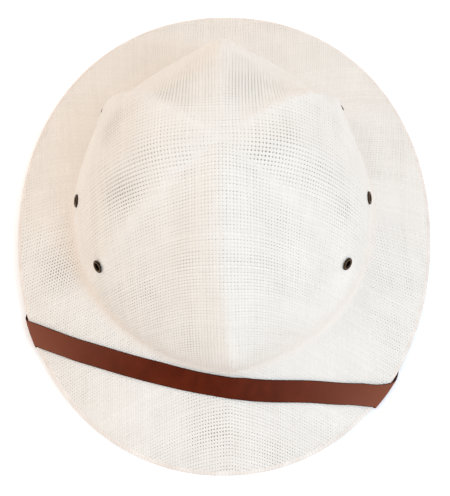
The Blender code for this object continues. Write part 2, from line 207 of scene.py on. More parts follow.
def oval(turn, halfWidth, front, rear, frontPower, rearPower):
    # |x / halfWidth|^p + |y / length|^p = 1, with its own length and power in front and behind
    side, ahead = np.sin(turn), np.cos(turn)
    length = np.where(ahead > 0, front, rear)
    power = np.where(ahead > 0, frontPower, rearPower)
    reach = (np.abs(side) ** power + np.abs(ahead) ** power) ** (-1 / power)
    return np.stack([halfWidth * side * reach, -length * ahead * reach], -1)


def smooth(t):
    # 3 t^2 - 2 t^3 between 0 and 1
    t = np.clip(t, 0, 1)
    return t * t * (3 - 2 * t)


def fromFront(turn):
    # the angle from the front to either side, 0 to pi
    return np.abs((turn + math.pi) % (2 * math.pi) - math.pi)


def placeRound(turn, descent):
    # 0, 1, 2 and 3 at the ridges from front to rear, and linear in between
    marks = [np.radians(r["apex"] + (r["foot"] - r["apex"]) * descent) for r in ridges]
    return sum(np.clip((fromFront(turn) - a) / (b - a), 0, 1) for a, b in zip(marks, marks[1:]))


def fullnessAt(place):
    # a ridge's fullness at its place and its panel's halfway to the next one, linear in between
    marks = np.arange(2 * len(ridges) - 1) / 2
    return np.interp(place, marks, [r[key] for r in ridges for key in ("fullness", "panel")][:-1])


def lean(turn):
    # how far the front ridge's foot pulls the cloth round with it: keelLean * exp(-(turn / leanSpread)^2)
    return form["keelLean"] * np.exp(-(fromFront(turn) / form["leanSpread"]) ** 2)


def keel(turn):
    # keel * (1 - distance from the front ridge / keelSpread)^2, and 0 past keelSpread
    return form["keel"] * np.clip(1 - fromFront(turn - lean(turn)) / form["keelSpread"], 0, 1) ** 2


def footLine(turn):
    # the foot's oval, widened by the keel, at the height side + (end - side) * cos^2(turn)
    ahead = np.cos(turn)
    ends = np.where(ahead > 0, form["footHeightFront"], form["footHeightRear"])
    height = form["footHeightSide"] + (ends - form["footHeightSide"]) * ahead**2
    outline = oval(turn, form["footHalfWidth"], form["footFront"], form["footRear"],
                   form["footFrontFullness"], form["footRearFullness"])
    outline = outline * (1 + keel(turn))[..., None] + np.array([0, form["footSetBack"]])
    return np.concatenate([outline, height[..., None]], -1)


def rimLine(turn):
    # the rim's oval, at the height sideRise * sin^2(turn)
    outline = oval(turn, form["rimHalfWidth"], form["rimHalfLength"], form["rimHalfLength"],
                   form["rimFullness"], form["rimFullness"])
    return np.concatenate([outline, (form["rimSideRise"] * np.sin(turn) ** 2)[..., None]], -1)


def crownPoint(turn, descent):
    # a superellipse from apex to foot, out^n + up^n = 1 with n the fullness. Its panels are let in between the ridges
    # as a hexagon's sides lie in from its circle, and each fold stands out by height * exp(-distance / width)
    turn, descent = np.broadcast_arrays(turn, descent)
    place = placeRound(turn - lean(turn) * descent**2, descent)
    power = 2 / fullnessAt(place)
    fromMiddle = math.pi / 3 * np.abs(place - np.clip(np.floor(place), 0, 2) - 0.5)
    flat = (1 / np.cos(fromMiddle) - 1) / (1 / math.cos(math.pi / 6) - 1)
    out = np.sin(descent * math.pi / 2) ** power
    up = np.clip(np.cos(descent * math.pi / 2), 0, 1) ** power
    fade = np.clip(up / form["panelFade"], 0, 1)
    out = out / (1 + keel(turn) * (1 - smooth(descent / form["keelFull"])))
    brow = smooth(place * form["browSlope"])  # 0 where the front ridge is rounded off
    brow = brow + (1 - brow) * smooth((descent - form["browStart"]) / form["browGrow"])
    out = out * (1 - form["panelDent"] * brow * (1 - flat) * smooth(fade))
    step = smooth((place - 2) / form["rearStepWidth"])
    step = step * (1 - smooth((place - form["rearStepEnd"]) / form["rearStepFade"]))
    out = out * (1 - form["rearStep"] * step * smooth(fade))
    for number, ridge in enumerate(ridges):
        height = ridge["crest"][0] + (ridge["crest"][1] - ridge["crest"][0]) * descent
        fold = height * np.exp(-np.abs(place - number) / form["crestWidth"])
        out = out * (1 + fold * smooth(up / form["crestFoot"]))
    base = footLine(turn)
    apex = np.array([0, form["footSetBack"], form["footHeightSide"] + form["crownHeight"]])
    outline = apex[:2] + (base[..., :2] - apex[:2]) * out[..., None]
    height = base[..., 2] + (apex[2] - base[..., 2]) * up
    return np.concatenate([outline, height[..., None]], -1)


def brimPoint(turn, share):
    # straight from foot to rim, bowed up by 4 * bulge * share * (1 - share)
    turn, share = np.broadcast_arrays(turn, share)
    point = footLine(turn) + (rimLine(turn) - footLine(turn)) * share[..., None]
    point[..., 2] += 4 * form["brimBulge"] * share * (1 - share)
    return point


def descentAt(turn, rise):
    # the descent where the crown stands a rise above its foot: crownPoint's up, solved for the descent
    up = rise / (form["footHeightSide"] + form["crownHeight"] - footLine(turn)[..., 2])
    return np.arccos(up ** (fullnessAt(placeRound(turn, 1.0)) / 2)) * 2 / math.pi


def blockPoint(turn, v):
    # the block that the straw is pressed over: v is 0 to 1 down the crown, 1 to 2 round the bend, 2 to 3 out to the rim
    turn, v = np.broadcast_arrays(np.asarray(turn, float), np.asarray(v, float))
    last = descentAt(turn, form["bendUp"])
    start = form["bendOut"] / np.linalg.norm((rimLine(turn) - footLine(turn))[..., :2], axis=-1)
    wall = crownPoint(turn, last * np.clip(v, 0, 1))
    slope = brimPoint(turn, start + (1 - start) * np.clip(v - 2, 0, 1))
    t = np.clip(v - 1, 0, 1)[..., None]
    bend = (1 - t) ** 2 * crownPoint(turn, last) + 2 * t * (1 - t) * footLine(turn) + t**2 * brimPoint(turn, start)
    return np.where((v < 1)[..., None], wall, np.where((v > 2)[..., None], slope, bend))


def blockNormal(turn, v, step=0.001):
    # the cross product of the differences down and round the block
    down = blockPoint(turn, np.clip(v + step, 0, 3)) - blockPoint(turn, np.clip(v - step, 0, 3))
    side = blockPoint(turn + step, v) - blockPoint(turn - step, v)
    out = np.cross(down, side)
    return out / np.linalg.norm(out, axis=-1, keepdims=True)


# a table of the outer surface: for each turn, points at even shares of the way from apex to rim

tableTurns, tableShares = 720, 400
crownRows, bendRows, brimRows = 300, 50, 100  # of the fine grid from which the even shares are taken
nearApex = 1e-4
turnTable = np.linspace(-math.pi, math.pi, tableTurns + 1)
fineV = [np.linspace(nearApex, 1, crownRows), np.linspace(1, 2, bendRows)[1:], np.linspace(2, 3, brimRows)[1:]]
fineV = np.concatenate(fineV)
outNormal = blockNormal(turnTable[:, None], fineV[None, :])
outPoint = blockPoint(turnTable[:, None], fineV[None, :]) + form["wall"] * outNormal
gone = np.linalg.norm(np.diff(outPoint, axis=1), axis=-1)
gone = np.concatenate([np.zeros((tableTurns + 1, 1)), np.cumsum(gone, axis=1)], 1)
meridian = gone[:, -1]  # the length from apex to rim at each turn
evenShares = np.linspace(0, 1, tableShares + 1)
vTable = np.stack([np.interp(evenShares * length, run, fineV) for length, run in zip(meridian, gone)])
normalTable = blockNormal(turnTable[:, None], vTable)
pointTable = blockPoint(turnTable[:, None], vTable) + form["wall"] * normalTable
radiusTable = np.linalg.norm(pointTable[..., :2] - np.array([0, form["footSetBack"]]), axis=-1)


def softened(table, width):
    # diffuses a table round the helmet, by width squared over twice the passes and the column's width squared, so that
    # the cloth passes over a ridge with a round back
    passes = 200
    column = np.maximum(radiusTable[:-1], 1 * mm) * 2 * math.pi / tableTurns
    stable = 0.25
    rate = np.clip((width / column) ** 2 / (2 * passes), 0, stable)[..., None]
    table = table[:-1]
    for _ in range(passes):
        table = table + rate * (np.roll(table, 1, 0) - 2 * table + np.roll(table, -1, 0))
    return np.concatenate([table, table[:1]])


pointTable = softened(pointTable, form["ridgeRound"])
normalTable = softened(normalTable, form["ridgeRound"])
normalTable = normalTable / np.linalg.norm(normalTable, axis=-1, keepdims=True)
# 1 along a ridge, where the cloth is pressed dense, and 0 away from it
descentTable = descentAt(turnTable, form["bendUp"])[:, None] * np.clip(vTable, 0, 1)
placeTable = placeRound(turnTable[:, None] - lean(turnTable)[:, None] * descentTable**2, descentTable)
ridgeTable = np.exp(-((placeTable - np.round(placeTable)) / form["pressedWidth"]) ** 2)
ridgeTable = ridgeTable * smooth((1 - vTable) / form["pressedFoot"])
frontRidge = smooth((descentTable - form["pressedStart"]) / form["pressedGrow"])
ridgeTable = ridgeTable * np.where(placeTable < 0.5, frontRidge, 1)
# the radius over the length from the apex, 1 at the apex
leastSlim = 0.3
slimTable = np.clip(radiusTable / np.maximum(evenShares * meridian[:, None], 1e-6), leastSlim, 1)
slimTable[:, 0] = 1


def readTable(table, turn, share):
    # bilinear reading of a table at any turn and share of the meridian
    x = (turn + math.pi) / (2 * math.pi) % 1 * tableTurns
    y = np.clip(share, 0, 1) * tableShares
    i, j = np.minimum(x.astype(int), tableTurns - 1), np.minimum(y.astype(int), tableShares - 1)
    s, t = x - i, y - j
    if table.ndim == 3:
        s, t = s[..., None], t[..., None]
    return ((table[i, j] * (1 - s) + table[i + 1, j] * s) * (1 - t)
            + (table[i, j + 1] * (1 - s) + table[i + 1, j + 1] * s) * t)


def meridianAt(turn):
    # the length from apex to rim at any turn, linear between the table's turns
    return np.interp(turn, turnTable, meridian, period=2 * math.pi)


def surfaceAt(turn, share, lift=0.0):
    # a point of the outer surface, plus lift times its normal
    normal = readTable(normalTable, turn, share)
    normal = normal / np.linalg.norm(normal, axis=-1, keepdims=True)
    return readTable(pointTable, turn, share) + normal * np.asarray(lift)[..., None]


def drape(a, b):
    # the turn and share of the meridian where the yarn a metres aside crosses the one b metres behind, on cloth that
    # is pressed without stretch along its two middle yarns: with l the length from the apex and k = radius / l,
    # a = l (k sin t + (1 - k) sin^2 t) and b = -l (k cos t + (1 - k) cos^2 t), solved for t by Newton's steps, then
    # for l, and then again with the k of that place
    x, y = np.abs(a), np.abs(b)
    t = np.arctan2(x, y)
    k = np.full_like(x, 0.85)  # a first guess
    for _ in range(9):
        for _ in range(3):
            s, c = np.sin(t), np.cos(t)
            across, ahead = k * s + (1 - k) * s * s, k * c + (1 - k) * c * c
            slope = x * (-k * s - 2 * (1 - k) * s * c) - y * (k * c + 2 * (1 - k) * s * c)
            t = np.clip(t - (x * ahead - y * across) / np.where(np.abs(slope) > 1e-9, slope, -1e-9), 0, math.pi / 2)
        s, c = np.sin(t), np.cos(t)
        across, ahead = k * s + (1 - k) * s * s, k * c + (1 - k) * c * c
        length = np.hypot(x, y) / np.hypot(across, ahead)
        turn = np.where(b >= 0, t, math.pi - t) * np.where(a < 0, -1, 1)
        share = length / meridianAt(turn)
        k = readTable(slimTable, turn, np.minimum(share, 1))
    return turn, share


print("form ready")

# the eyelets' seats

def ventSeat(turnDegrees, rise, leanOut, side):
    # the point of the outer surface on an eyelet's axis, and the axis: the normal over the flange, turned down by
    # taking the tangent of leanOut from its height
    flangeSpan = 0.045  # how far to each side, in v, the normal is taken
    turn = np.array(math.radians(turnDegrees) * side)
    v = descentAt(turn, rise * form["crownHeight"]) / descentAt(turn, form["bendUp"])
    out = blockNormal(turn, v, flangeSpan)
    seat = blockPoint(turn, v) + form["wall"] * out
    out = out - np.array([0, 0, math.tan(math.radians(leanOut))])
    return seat, out / np.linalg.norm(out)


seats = {f"eyelet_{sideName}_{name}": ventSeat(turn, rise, leanOut, side)
         for side, sideName in ((-1, "left"), (1, "right")) for name, (turn, rise, leanOut) in vents.items()}

# woven straw: every yarn is a flat ribbon that goes over and under the ones it crosses

weave = {
    "pitch": 2.4 * mm,  # between yarns
    "halfWidth": 0.415,  # of a yarn, as a share of the pitch
    "opening": 0.26,  # how much narrower the yarns are in an open place, and wider in a dense one
    "swing": 0.20 * mm,  # how far a yarn rises over the next one
    "crown": 0.30 * mm,  # how far the middle of a yarn stands above its edges
    "middle": -0.12 * mm,  # the weave's middle against the pressed surface
    "shoulder": 0.42,  # the two inner points of a yarn's section, as a share of its half width
    "uneven": 0.045,  # how much yarns differ in width, as a share
    "alike": 0.4,  # how much a yarn takes after its neighbours
    "wander": 0.05,  # how far a yarn strays sideways, as a share of the pitch
    "wanderWaves": (0.11, 0.23, 0.41),  # radians a pitch
    "pulse": 0.03,  # how much a yarn's width comes and goes, as a share
    "pulseWave": 0.7,  # radians a pitch
    "ridgeWiden": 0.1,  # how much wider the yarns are along a ridge
    "flatWiden": 0.05,  # and in the band that is pressed flat at the foot
    "flatCalm": 0.3,  # how much less they rise there
    "flatFrom": 0.94,  # where the band begins, in v
    "flatRise": 0.1,
    "flatTo": 2.1,  # and where it ends
    "flatFall": 0.5,
    "stopShort": 0.8 * mm,  # of the rim, under the turned edge
    "ventClear": 3.3 * mm,  # from an eyelet's axis, where the yarns end
}
# places where the weave lies open or, below 0, dense: turn, share of the meridian, radius in mm and how open
openPlaces = [
    (-72, 0.36, 18, 1.0), (-108, 0.42, 14, 0.6), (-90, 0.22, 14, 0.5), (-139, 0.245, 14, 0.6),
    (161, 0.185, 14, 0.7), (150, 0.26, 13, 0.5), (77, 0.13, 12, 0.6), (96, 0.2, 13, 0.6),
    (84, 0.34, 17, 0.4), (76, 0.5, 10, 0.6), (30, 0.34, 20, 0.3), (-25, 0.34, 14, 0.3),
    (-3, 0.87, 14, 0.7), (14, 0.96, 12, 0.4), (-74, 0.84, 14, 0.9), (95, 0.86, 34, -0.6),
    (52, 0.66, 22, -0.8), (180, 0.88, 40, -0.2), (135, 0.86, 42, -0.7), (-135, 0.86, 42, -0.7),
    (-110, 0.82, 30, -0.8), (35, 0.78, 32, -0.9), (-30, 0.88, 26, -0.7), (-33, 0.52, 24, 0.4),
    (-12, 0.60, 16, 0.3),
]


def openness(point):
    # the sum of soft round spots, open * exp(-distance squared / radius squared)
    total = np.zeros(point.shape[:-1])
    for turn, share, radius, opened in openPlaces:
        centre = surfaceAt(np.array(math.radians(turn)), np.array(share))
        total = total + opened * np.exp(-np.sum((point - centre) ** 2, -1) / (radius * mm) ** 2)
    return np.clip(total, -1, 1)


def pressedFlat(turn, share):
    # 1 in the smooth band where the crown's wall meets the brim, falling linearly to 0 above and below it
    v = readTable(vTable, turn, share)
    grown = np.clip((v - weave["flatFrom"]) / weave["flatRise"], 0, 1)
    return grown * np.clip((weave["flatTo"] - v) / weave["flatFall"], 0, 1)


def yarns(name, numbers, runsForward, material):
    # one ribbon for each number, four points across and two rows to a crossing, which goes over and under by
    # swing * cos(pi (number + step)) and stands up in its middle by crown * (1 - edge^2)
    half = int(max(meridian) / weave["pitch"]) + 1
    steps = np.arange(-2 * half, 2 * half + 1) / 2
    number, step = numbers[:, None], steps[None, :]
    crossings = (number, step) if runsForward else (step, number)
    turn, share = drape(*[np.broadcast_to(q, (len(numbers), len(steps))) * weave["pitch"] for q in crossings])
    spot = surfaceAt(turn, np.minimum(share, 1))
    flat, opened = pressedFlat(turn, share), openness(spot)
    ridge = readTable(ridgeTable, turn, np.minimum(share, 1))
    uneven = chance.standard_normal(len(numbers) + 4)
    uneven = uneven[2:-2] + weave["alike"] * np.convolve(uneven, np.ones(5) / 5, "valid")
    width = weave["halfWidth"] * (1 + weave["uneven"] * uneven[:, None])
    phase = chance.uniform(0, 2 * math.pi, (3, len(numbers)))[..., None]
    stray = sum(np.sin(step * f + p) for f, p in zip(weave["wanderWaves"], phase)) / len(phase) * weave["wander"]
    width = width * (1 + weave["flatWiden"] * flat + weave["ridgeWiden"] * ridge
                     - weave["opening"] * opened * (1 - ridge)
                     + weave["pulse"] * np.sin(step * weave["pulseWave"] + phase[0]))
    edge = np.array([-1, -weave["shoulder"], weave["shoulder"], 1])
    offset = (number + stray)[..., None] + width[..., None] * edge
    along = np.broadcast_to(step[..., None], offset.shape)
    a, b = (offset, along) if runsForward else (along, offset)
    turn, share = drape(a * weave["pitch"], b * weave["pitch"])
    limit = 1 - weave["stopShort"] / meridianAt(turn)
    over = np.cos(math.pi * (number + step)) * (1 if runsForward else -1)
    calm = 1 - weave["flatCalm"] * flat
    lift = weave["middle"] + (weave["swing"] * over * calm)[..., None]
    lift = lift + weave["crown"] * (1 - edge**2) * calm[..., None]
    points = surfaceAt(turn, np.minimum(share, limit), lift).reshape(-1, 3)
    inside = (share < limit).reshape(-1)
    grid = np.arange(len(points)).reshape(offset.shape)
    quads = np.stack([grid[:, :-1, :-1], grid[:, 1:, :-1], grid[:, 1:, 1:], grid[:, :-1, 1:]], -1).reshape(-1, 4)
    if not runsForward:
        quads = quads[:, ::-1]
    quads = quads[inside[quads].any(1)]
    for point, _ in seats.values():
        quads = quads[np.linalg.norm(points[quads].mean(1) - point, axis=1) > weave["ventClear"]]
    tint = np.broadcast_to(chance.standard_normal(len(numbers))[:, None, None], offset.shape).reshape(-1)
    uv = np.stack([along * weave["pitch"] / mm, np.broadcast_to(edge, offset.shape)], -1).reshape(-1, 2)
    pressed = np.broadcast_to(flat[..., None], offset.shape).reshape(-1)
    points, quads, (tint, uv, pressed) = usedOnly(points, quads, tint, uv, pressed)
    return newPiece(name, points, [quads], material, uv, {"yarnTint": tint, "pressedFlat": pressed})


# Toyo straw: a washi paper yarn, twisted and lacquered, matt cream with cooler highlights and a fine fibre
def makeStraw():
    made, tree, shader = newMaterial("toyoPaperStraw", Roughness=0.62, Sheen_Weight=0.12, Sheen_Roughness=0.4)
    tint = addNode(tree, "Attribute", attribute_name="yarnTint")
    flat = addNode(tree, "Attribute", attribute_name="pressedFlat")
    place = addNode(tree, "TexCoord")
    along = addNode(tree, "UVMap", uv_map="surface")
    fibre = addNode(tree, "Mapping", {"Vector": along.outputs["UV"], "Scale": (0.9, 2.2, 1.0)})
    streak = addNoise(tree, fibre.outputs["Vector"], 1.6, 3.0)
    cloud = addNoise(tree, place.outputs["Object"], 45.0, 3.0)
    shade = addScaled(tree, tint.outputs["Fac"], 0.035, 0.5)
    shade = addScaled(tree, streak.outputs["Fac"], 0.45, shade.outputs[0])
    shade = addScaled(tree, cloud.outputs["Fac"], 0.35, shade.outputs[0])
    shade = addNode(tree, "Math", {0: shade.outputs[0], 1: 0.4}, operation="SUBTRACT")
    ramp = addRamp(tree, shade.outputs[0], "#D8CFC4", 0.15, "#F1EAE1", 0.85)
    warm = addNode(tree, "Mix", {"Factor": flat.outputs["Fac"], 6: ramp.outputs["Color"], 7: srgb("#E8DED3")},
                   data_type="RGBA")
    tree.links.new(warm.outputs[2], shader.inputs["Base Color"])
    emboss(tree, shader, streak.outputs["Fac"], 0.35)
    return made


# The back of the same cloth, seen between the yarns: its dark brown is painted shade, for the shade that falls in the
# gaps between them
def makePaintedShadeBacking():
    made, tree, shader = newMaterial("paintedShadeBacking", Roughness=0.85)
    place = addNode(tree, "TexCoord")
    cloud = addNoise(tree, place.outputs["Object"], 300.0, 2.0)
    # painted shade: the backing is coloured dark brown for the shade between the yarns
    ramp = addRamp(tree, cloud.outputs["Fac"], "#5A4632", 0.0, "#947C60", 1.0)
    tree.links.new(ramp.outputs["Color"], shader.inputs["Base Color"])
    return made


strawYarn, paintedShadeBacking = makeStraw(), makePaintedShadeBacking()
yarnCount = int(max(meridian) / weave["pitch"]) + 1
pieces = {}
for name, numbers, runsForward in (
    ("straw_warp_left", np.arange(-yarnCount, 0), True),
    ("straw_warp_right", np.arange(0, yarnCount + 1), True),
    ("straw_weft_front", np.arange(0, yarnCount + 1), False),
    ("straw_weft_rear", np.arange(-yarnCount, 0), False),
):
    pieces[name] = yarns(name, numbers, runsForward, strawYarn)
    print(name, len(pieces[name].data.polygons) * 2, "triangles")

# the body under the yarns: inner face, rim and the backing that shows between the yarns, its dark brown painted shade

body = {"columns": 360, "outerRows": 110, "innerRows": 60, "ventBore": 3.1 * mm,
        "sunk": 0.36 * mm, "stopShort": 1.2 * mm}  # under the pressed surface, and of the rim


def makeBody():
    # rings of the outer face out to the rim and of the inner face back, with a fan of triangles at each apex
    turn = np.linspace(-math.pi, math.pi, body["columns"] + 1)[:-1]
    outer = np.linspace(0, 1, body["outerRows"] + 1)[1:]
    inner = np.linspace(1, 0, body["innerRows"] + 1)[:-1]
    reach = 1 - body["stopShort"] / meridianAt(turn)[None, :]
    top = surfaceAt(turn[None, :], outer[:, None] * reach, np.full((len(outer), len(turn)), -body["sunk"]))
    under = surfaceAt(turn[None, :], inner[:, None] * reach, np.full((len(inner), len(turn)), -form["wall"]))
    points = np.concatenate([top.reshape(-1, 3), under.reshape(-1, 3)])
    rows = len(outer) + len(inner)
    quads = gridQuads(rows, len(turn), closed=True)
    apex = surfaceAt(np.zeros(1), np.zeros(1), np.array([-body["sunk"]]))
    nadir = surfaceAt(np.zeros(1), np.zeros(1), np.array([-form["wall"]]))
    first, last = len(points), len(points) + 1
    ring = np.arange(len(turn))
    after = (ring + 1) % len(turn)
    base = (rows - 1) * len(turn)
    cap = np.stack([np.full(len(turn), first), ring, after], -1)
    plug = np.stack([np.full(len(turn), last), base + after, base + ring], -1)
    points = np.concatenate([points, apex, nadir])
    # the outer face takes the backing with its painted shade, and the inner face and the plug take the straw
    finish = np.concatenate([np.arange(len(quads)) // len(turn) >= len(outer) - 1,
                             np.zeros(len(cap)), np.ones(len(plug))])
    return newPiece("straw_body", points, [quads, cap, plug], [paintedShadeBacking, strawYarn], None,
                    {"yarnTint": np.zeros(len(points)), "pressedFlat": np.ones(len(points))}, finish)


def punch(piece, names, radius):
    # takes a cylinder out of a piece along the axis of each of some eyelets
    cutterSides, cutterLength = 40, 0.016
    cutters = []
    for name in names:
        point, out = seats[name]
        bpy.ops.mesh.primitive_cylinder_add(vertices=cutterSides, radius=radius, depth=cutterLength)
        cutter = bpy.context.object
        turnTo = Vector(out).to_track_quat("Z", "Y").to_matrix().to_4x4()
        cutter.data.transform(Matrix.Translation(Vector(point)) @ turnTo)
        cutters.append(cutter)
    for cutter in cutters:
        hole = piece.modifiers.new("hole", "BOOLEAN")
        hole.operation, hole.solver, hole.object = "DIFFERENCE", "EXACT", cutter
    cut = bpy.data.meshes.new_from_object(piece.evaluated_get(bpy.context.evaluated_depsgraph_get()))
    piece.modifiers.clear()
    piece.data = cut
    for cutter in cutters:
        bpy.data.objects.remove(cutter)


pieces["straw_body"] = makeBody()
punch(pieces["straw_body"], seats, body["ventBore"])
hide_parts("helmet_shell")
print("straw body", len(pieces["straw_body"].data.polygons), "faces")

# the turned edge of the brim

turnedEdge = {
    "width": 2.0 * mm,
    "underWidth": 3.2 * mm,
    "proud": 0.3 * mm,
    "past": 0.15 * mm,  # how far it reaches past the rim
    "sides": 900,
    "bendPoints": 11,
    "topPlaces": (1.0, 1.0, 0.93, 0.75, 0.4, 0.1),  # its section above the brim, as shares of the width
    "topLifts": (-0.7, -0.25, 0.0, 0.04, 0.02, 0.0),  # and in mm
    "underPlaces": (0.3, 0.9, 1.0),
    "underLifts": (0.0, 0.05, 0.6),
}


def edgeFrame(turn):
    # at the rim: middle of the wall, normal of the brim, and the direction straight out along it
    v, back = np.full_like(turn, 3.0), 0.02
    out = blockNormal(turn, v)
    ahead = blockPoint(turn, v) - blockPoint(turn, v - back)
    ahead = ahead / np.linalg.norm(ahead, axis=-1, keepdims=True)
    return blockPoint(turn, v) + out * form["wall"] / 2, out, ahead


def makeEdge(material):
    # a folded band: flat above and below the brim, with a half circle round the rim of wall / 2 + proud
    turn = np.linspace(-math.pi, math.pi, turnedEdge["sides"] + 1)[:-1]
    middle, out, ahead = edgeFrame(turn)
    radius = form["wall"] / 2 + turnedEdge["proud"]
    middle = middle - ahead * (radius - turnedEdge["past"])
    inward = np.array(turnedEdge["topPlaces"]) * turnedEdge["width"]
    height = radius + np.array(turnedEdge["topLifts"]) * mm
    angle = np.linspace(0, math.pi, turnedEdge["bendPoints"])
    under = np.array(turnedEdge["underPlaces"]) * turnedEdge["underWidth"]
    x = np.concatenate([-inward, radius * np.sin(angle), -under])
    z = np.concatenate([height, radius * np.cos(angle), -radius + np.array(turnedEdge["underLifts"]) * mm])
    points = middle[None] + ahead[None] * x[:, None, None] + out[None] * z[:, None, None]
    quads = gridQuads(len(x), len(turn), closed=True)
    length = np.concatenate([[0], np.cumsum(np.linalg.norm(np.diff(middle, axis=0), axis=1))]) / mm
    uv = np.stack(np.broadcast_arrays(length[None, :], np.linspace(-1, 1, len(x))[:, None]), -1).reshape(-1, 2)
    shown = points.reshape(-1, 3)
    return newPiece("turned_edge", shown, [quads], material, uv,
                    {"yarnTint": np.zeros(len(shown)), "pressedFlat": np.ones(len(shown))})


# The same straw folded over the rim and pressed hard: a little darker and pinker than the brim
def makeEdgeStraw():
    made, tree, shader = newMaterial("foldedStraw", Roughness=0.6)
    along = addNode(tree, "UVMap", uv_map="surface")
    place = addNode(tree, "TexCoord")
    yarn = addNode(tree, "TexWave", {"Vector": along.outputs["UV"], "Scale": 0.131, "Distortion": 0.6, "Detail": 1.0},
                   bands_direction="X")
    cloud = addNoise(tree, place.outputs["Object"], 90.0, 3.0)
    mixed = addScaled(tree, yarn.outputs["Fac"], 0.2, cloud.outputs["Fac"])
    ramp = addRamp(tree, mixed.outputs[0], "#DACCC0", 0.3, "#EFE5DB", 0.9)
    tree.links.new(ramp.outputs["Color"], shader.inputs["Base Color"])
    emboss(tree, shader, yarn.outputs["Fac"], 0.5)
    return made


pieces["turned_edge"] = makeEdge(makeEdgeStraw())
print("turned edge ready")

# the strap

strap = {
    "width": 15 * mm,
    "thickness": 1.2 * mm,
    "seat": 0.4 * mm,  # over the brim
    "innerSeat": 0.7 * mm,  # under it
    "tuck": 0.7 * mm,  # how far in from the rim its turn round the edge is centred
    "tongue": 7 * mm,  # past the eyelet that holds its end
    "crowned": 0.12 * mm,  # how far its middle stands above its sides
    "corner": 0.45 * mm,  # radius of its burnished edges
    "cornerPoints": 5,
    "topPoints": 9,
    "step": 1.4 * mm,  # between its sections
    "leastSlope": 0.2,  # of its path across the rim, where its sides are slanted along the rim
    "ventBore": 3.1 * mm,  # radius
    "sheenReach": 70 * mm,  # how far from the rim its painted sheen reaches
    "sheenPower": 1.5,
}
# its centre line as turn and share of the brim from the bend to the rim, as in the solids
strapOver = [(-65.3, 1.0), (-55, 0.611), (-40, 0.28), (-22, 0.111), (-5, 0.064), (12, 0.174), (27, 0.383),
             (40, 0.719), (47.6, 1.0)]
strapUnderLeft = [(-83, 0.07), (-78, 0.42), (-72, 0.74)]
strapUnderRight = [(58, 0.77), (68, 0.455), (78, 0.14)]


def runLengths(turn):
    # lengths of the brim, the bend and the wall above it, along the block; the wall's is twice its lower half
    marks = [blockPoint(turn, v) for v in (3.0, 2.0, 1.5, 1.0, 0.5)]
    parts = [np.linalg.norm(a - b, axis=-1) for a, b in zip(marks, marks[1:])]
    return parts[0], parts[1] + parts[2], parts[3] * 2


lapRadius = (form["wall"] + strap["seat"] + strap["innerSeat"] + strap["thickness"]) / 2
lapLength = math.pi * lapRadius - 2 * strap["tuck"]


def runIn(turn, v):
    # the way in from the rim to v: the brim, the bend and the wall, each by the share of it that is passed
    slope, bend, wall = runLengths(turn)
    return np.clip(3 - v, 0, 1) * slope + np.clip(2 - v, 0, 1) * bend + np.clip(1 - v, 0, 1) * wall


def layStrap(turn, run, lift):
    # run is the way in from the rim over the brim, and below 0 round the rim and back under it. The lap is a half
    # circle, cos(angle) up and sin(angle) ahead, and elsewhere the strap lies at its height along the normal
    slope, bend, wall = runLengths(turn)
    under = run < strap["tuck"]
    inward = np.where(under, -run - lapLength, run)
    v = 3 - np.clip(inward / slope, 0, 1) - np.clip((inward - slope) / bend, 0, 1)
    v = v - np.clip((inward - slope - bend) / wall, 0, 1)
    out = blockNormal(turn, v)
    half = strap["thickness"] / 2
    height = np.where(under, -strap["innerSeat"] - half - lift, form["wall"] + strap["seat"] + half + lift)
    flat = blockPoint(turn, v) + out * height[..., None]
    middle, edgeOut, ahead = edgeFrame(turn)
    middle = middle + edgeOut * (strap["seat"] - strap["innerSeat"]) / 2 - ahead * strap["tuck"]
    angle = np.clip((strap["tuck"] - run) / lapRadius, 0, math.pi)[..., None]
    lap = middle + (lapRadius + lift)[..., None] * (np.cos(angle) * edgeOut + np.sin(angle) * ahead)
    return np.where((under & (inward < strap["tuck"]))[..., None], lap, flat)


def strapPath():
    # its knots as turn and run, from one middle eyelet under the brim, over it, and under it to the other
    knots = []
    for side, stations in ((-1, strapUnderLeft), (1, strapUnderRight)):
        turn = np.array(math.radians(vents["mid"][0]) * side)
        v = descentAt(turn, vents["mid"][1] * form["crownHeight"]) / descentAt(turn, form["bendUp"])
        hold = -float(runIn(turn, v)) - lapLength
        ends = [(float(turn), hold - strap["tongue"]), (float(turn), hold)]
        under = [(math.radians(t), -float(runIn(np.array(math.radians(t)), np.array(2 + s))) - lapLength)
                 for t, s in stations]
        knots.append(ends + under if side < 0 else under + ends[::-1])
    over = [(math.radians(t), float(runIn(np.array(math.radians(t)), np.array(2 + s)))) for t, s in strapOver]
    return np.array(knots[0] + over + knots[1])


def smoothPath(knots, step):
    # cubic Hermite curve through the knots, by distance along them, at about even steps
    scale = np.array([form["rimHalfWidth"], 1.0])
    along = np.concatenate([[0], np.cumsum(np.linalg.norm(np.diff(knots * scale, axis=0), axis=1))])
    slopes = np.gradient(knots, along, axis=0)
    spots = np.linspace(0, along[-1], max(int(along[-1] / step), 2))
    k = np.clip(np.searchsorted(along, spots) - 1, 0, len(along) - 2)
    gap = (along[k + 1] - along[k])[:, None]
    t = ((spots - along[k]) / gap[:, 0])[:, None]
    path = ((1 + 2 * t) * (1 - t) ** 2 * knots[k] + t * (1 - t) ** 2 * gap * slopes[k]
            + t**2 * (3 - 2 * t) * knots[k + 1] - t**2 * (1 - t) * gap * slopes[k + 1])
    return spots, path


